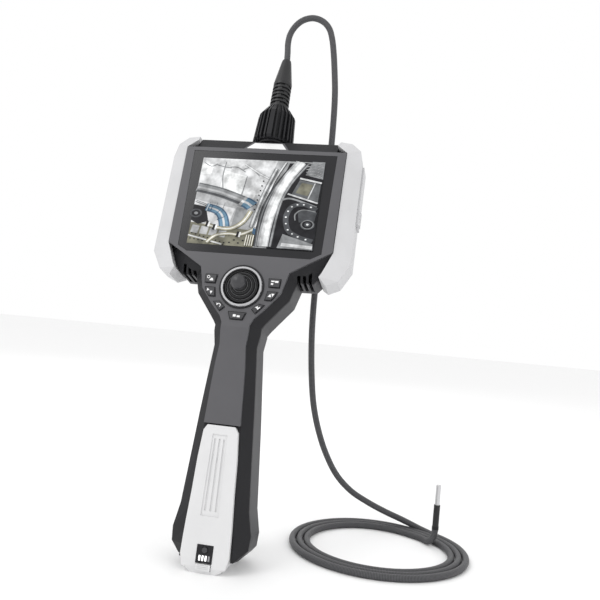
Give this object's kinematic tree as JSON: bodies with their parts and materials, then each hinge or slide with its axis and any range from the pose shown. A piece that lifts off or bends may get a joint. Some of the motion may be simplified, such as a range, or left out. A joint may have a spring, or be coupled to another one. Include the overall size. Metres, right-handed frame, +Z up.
{
  "type": "inspection camera",
  "caption": "Hand-held video inspection camera: tilted screen head, joystick and keys, slide-in battery in a leaning handle, and a coiled steerable probe cable.",
  "frame": {"origin": "on the floor plane under the battery foot, on the centre line, 24 mm behind the handle's front face line", "axes": "+Z up, -Y towards the user's side with the screen, +X to the viewer's right"},
  "size_m": [0.2689, 0.19, 0.4581],
  "materials": {
    "black_plastic": "fine moulded texture",
    "graphite_plastic": "satin gunmetal paint",
    "rear_grip": "moulded grip texture",
    "light_rubber": "soft light grey overmould",
    "pack_plastic": "fine moulded texture",
    "white_plastic": "blank badge",
    "screen_glass": "polished black-edged glass",
    "display": "liquid crystal panel",
    "board": "circuit board",
    "steel": "satin",
    "chrome_ring": "turned bright ring",
    "black_rubber": "matt",
    "key_plastic": "satin",
    "braid": "braided mesh sleeve",
    "contact_metal": "plated",
    "cell_wrap": "shrink wrap",
    "lit_white": "light"
  },
  "bodies": {
    "housing": {"front_shell": "black_plastic", "rear_shell": "rear_grip", "shell_gasket": "black_rubber", "housing_screws": "steel", "face_plate": "graphite_plastic", "badge_plate": "white_plastic", "left_bumper": "light_rubber", "right_bumper": "light_rubber", "port_block": "steel", "screen_glass": "screen_glass", "display_panel": "display", "display_bracket": "steel", "main_board": "board", "key_board": "board", "joystick_collar": "black_plastic", "joystick_bezel": "chrome_ring", "joystick_boot": "black_rubber", "joystick_base": "black_plastic", "drive_frame": "steel", "drive_motors": "steel", "probe_socket": "black_plastic", "socket_oring": "black_rubber", "probe_plug": "black_plastic", "strain_relief": "black_rubber", "probe_cable": "braid", "probe_coil": "braid", "probe_lead": "braid", "bend_base": "black_plastic", "terminal_block": "black_plastic"},
    "port_cover": {"port_cover": "light_rubber"},
    "joystick_ring": {"joystick_gimbal": "steel"},
    "joystick": {"joystick_stem": "steel", "joystick_cap": "key_plastic"},
    "key_top_left": {"key_top_left": "key_plastic"},
    "key_mid_left": {"key_mid_left": "key_plastic"},
    "key_low_left": {"key_low_left": "key_plastic"},
    "key_bottom": {"key_bottom": "key_plastic"},
    "key_low_right": {"key_low_right": "key_plastic"},
    "key_mid_right": {"key_mid_right": "key_plastic"},
    "key_top_right": {"key_top_right": "key_plastic"},
    "tilt_drum": {"tilt_drum": "pack_plastic"},
    "pan_drum": {"pan_drum": "pack_plastic"},
    "coupling_nut": {"coupling_nut": "black_plastic"},
    "link_1": {"bend_link_1": "steel"},
    "link_2": {"bend_link_2": "steel"},
    "link_3": {"bend_link_3": "steel"},
    "link_4": {"bend_link_4": "steel"},
    "link_5": {"bend_link_5": "steel"},
    "camera_tip": {"bend_link_6": "steel", "camera_head": "steel", "camera_window": "lit_white"},
    "battery": {"battery_case": "pack_plastic", "battery_back": "pack_plastic", "battery_cells": "cell_wrap", "battery_contacts": "contact_metal", "battery_gauge": "black_plastic", "gauge_bars": "lit_white"},
    "gauge_key": {"gauge_key": "key_plastic"},
    "battery_latch": {"battery_latch": "pack_plastic"}
  },
  "joints": [
    {"name": "joystick_pitch", "type": "hinge", "parent": "housing", "child": "joystick_ring", "pos_m": [0, 0.01518, 0.20409], "axis": [1, 0, 0], "range_deg": [-20, 20], "stiffness_Nm_per_rad": 0.06, "deforming": ["joystick_boot"]},
    {"name": "joystick_yaw", "type": "hinge", "parent": "joystick_ring", "child": "joystick", "pos_m": [0, 0.01518, 0.20409], "axis": [0, 0.2756, 0.9613], "range_deg": [-20, 20], "stiffness_Nm_per_rad": 0.06, "deforming": ["joystick_boot"]},
    {"name": "key_top_left_press", "type": "slide", "parent": "housing", "child": "key_top_left", "axis": [0, 0.9613, -0.2756], "range_m": [0, 0.0011], "stiffness_N_per_m": 400},
    {"name": "key_mid_left_press", "type": "slide", "parent": "housing", "child": "key_mid_left", "axis": [0, 0.9613, -0.2756], "range_m": [0, 0.0011], "stiffness_N_per_m": 400},
    {"name": "key_low_left_press", "type": "slide", "parent": "housing", "child": "key_low_left", "axis": [0, 0.9613, -0.2756], "range_m": [0, 0.0011], "stiffness_N_per_m": 400},
    {"name": "key_bottom_press", "type": "slide", "parent": "housing", "child": "key_bottom", "axis": [0, 0.9613, -0.2756], "range_m": [0, 0.0011], "stiffness_N_per_m": 400},
    {"name": "key_low_right_press", "type": "slide", "parent": "housing", "child": "key_low_right", "axis": [0, 0.9613, -0.2756], "range_m": [0, 0.0011], "stiffness_N_per_m": 400},
    {"name": "key_mid_right_press", "type": "slide", "parent": "housing", "child": "key_mid_right", "axis": [0, 0.9613, -0.2756], "range_m": [0, 0.0011], "stiffness_N_per_m": 400},
    {"name": "key_top_right_press", "type": "slide", "parent": "housing", "child": "key_top_right", "axis": [0, 0.9613, -0.2756], "range_m": [0, 0.0011], "stiffness_N_per_m": 400},
    {"name": "tilt_drum_turn", "type": "hinge", "parent": "housing", "child": "tilt_drum", "pos_m": [-0.02, 0.04863, 0.27356], "axis": [0, 0.9613, -0.2756], "range_deg": [-45, 45]},
    {"name": "pan_drum_turn", "type": "hinge", "parent": "housing", "child": "pan_drum", "pos_m": [0.02, 0.04863, 0.27356], "axis": [0, 0.9613, -0.2756], "range_deg": [-45, 45]},
    {"name": "nut_turn", "type": "hinge", "parent": "housing", "child": "coupling_nut", "pos_m": [0, 0.06764, 0.33989], "axis": [0, 0.2756, 0.9613], "range_deg": [0, 360]},
    {"name": "port_cover_open", "type": "hinge", "parent": "housing", "child": "port_cover", "pos_m": [0.078, 0.05925, 0.28196], "axis": [0, 0.2756, 0.9613], "range_deg": [0, 105]},
    {"name": "tip_bend_1", "type": "hinge", "parent": "housing", "child": "link_1", "pos_m": [0.161, 0.114, 0.02], "axis": [1, 0, 0], "range_deg": [-20, 20]},
    {"name": "tip_bend_2", "type": "hinge", "parent": "link_1", "child": "link_2", "pos_m": [0.161, 0.114, 0.0229], "axis": [0, 1, 0], "range_deg": [-20, 20]},
    {"name": "tip_bend_3", "type": "hinge", "parent": "link_2", "child": "link_3", "pos_m": [0.161, 0.114, 0.0258], "axis": [1, 0, 0], "range_deg": [-20, 20]},
    {"name": "tip_bend_4", "type": "hinge", "parent": "link_3", "child": "link_4", "pos_m": [0.161, 0.114, 0.0287], "axis": [0, 1, 0], "range_deg": [-20, 20]},
    {"name": "tip_bend_5", "type": "hinge", "parent": "link_4", "child": "link_5", "pos_m": [0.161, 0.114, 0.0316], "axis": [1, 0, 0], "range_deg": [-20, 20]},
    {"name": "tip_bend_6", "type": "hinge", "parent": "link_5", "child": "camera_tip", "pos_m": [0.161, 0.114, 0.0345], "axis": [0, 1, 0], "range_deg": [-20, 20]},
    {"name": "battery_slide", "type": "slide", "parent": "housing", "child": "battery", "axis": [0, -0.1392, -0.9903], "range_m": [0, 0.112]},
    {"name": "battery_latch_press", "type": "slide", "parent": "battery", "child": "battery_latch", "axis": [0, 0.9903, -0.1392], "range_m": [0, 0.002], "stiffness_N_per_m": 500},
    {"name": "gauge_key_press", "type": "slide", "parent": "battery", "child": "gauge_key", "axis": [0, 0.9903, -0.1392], "range_m": [0, 0.0006], "stiffness_N_per_m": 500}
  ],
  "couplings": [
    {"joint": "tilt_drum_turn", "follows": "joystick_pitch", "ratio": 2},
    {"joint": "pan_drum_turn", "follows": "joystick_yaw", "ratio": 2},
    {"joint": "tip_bend_1", "follows": "joystick_pitch", "ratio": 1},
    {"joint": "tip_bend_2", "follows": "joystick_yaw", "ratio": 1},
    {"joint": "tip_bend_3", "follows": "joystick_pitch", "ratio": 1},
    {"joint": "tip_bend_4", "follows": "joystick_yaw", "ratio": 1},
    {"joint": "tip_bend_5", "follows": "joystick_pitch", "ratio": 1},
    {"joint": "tip_bend_6", "follows": "joystick_yaw", "ratio": 1}
  ]
}
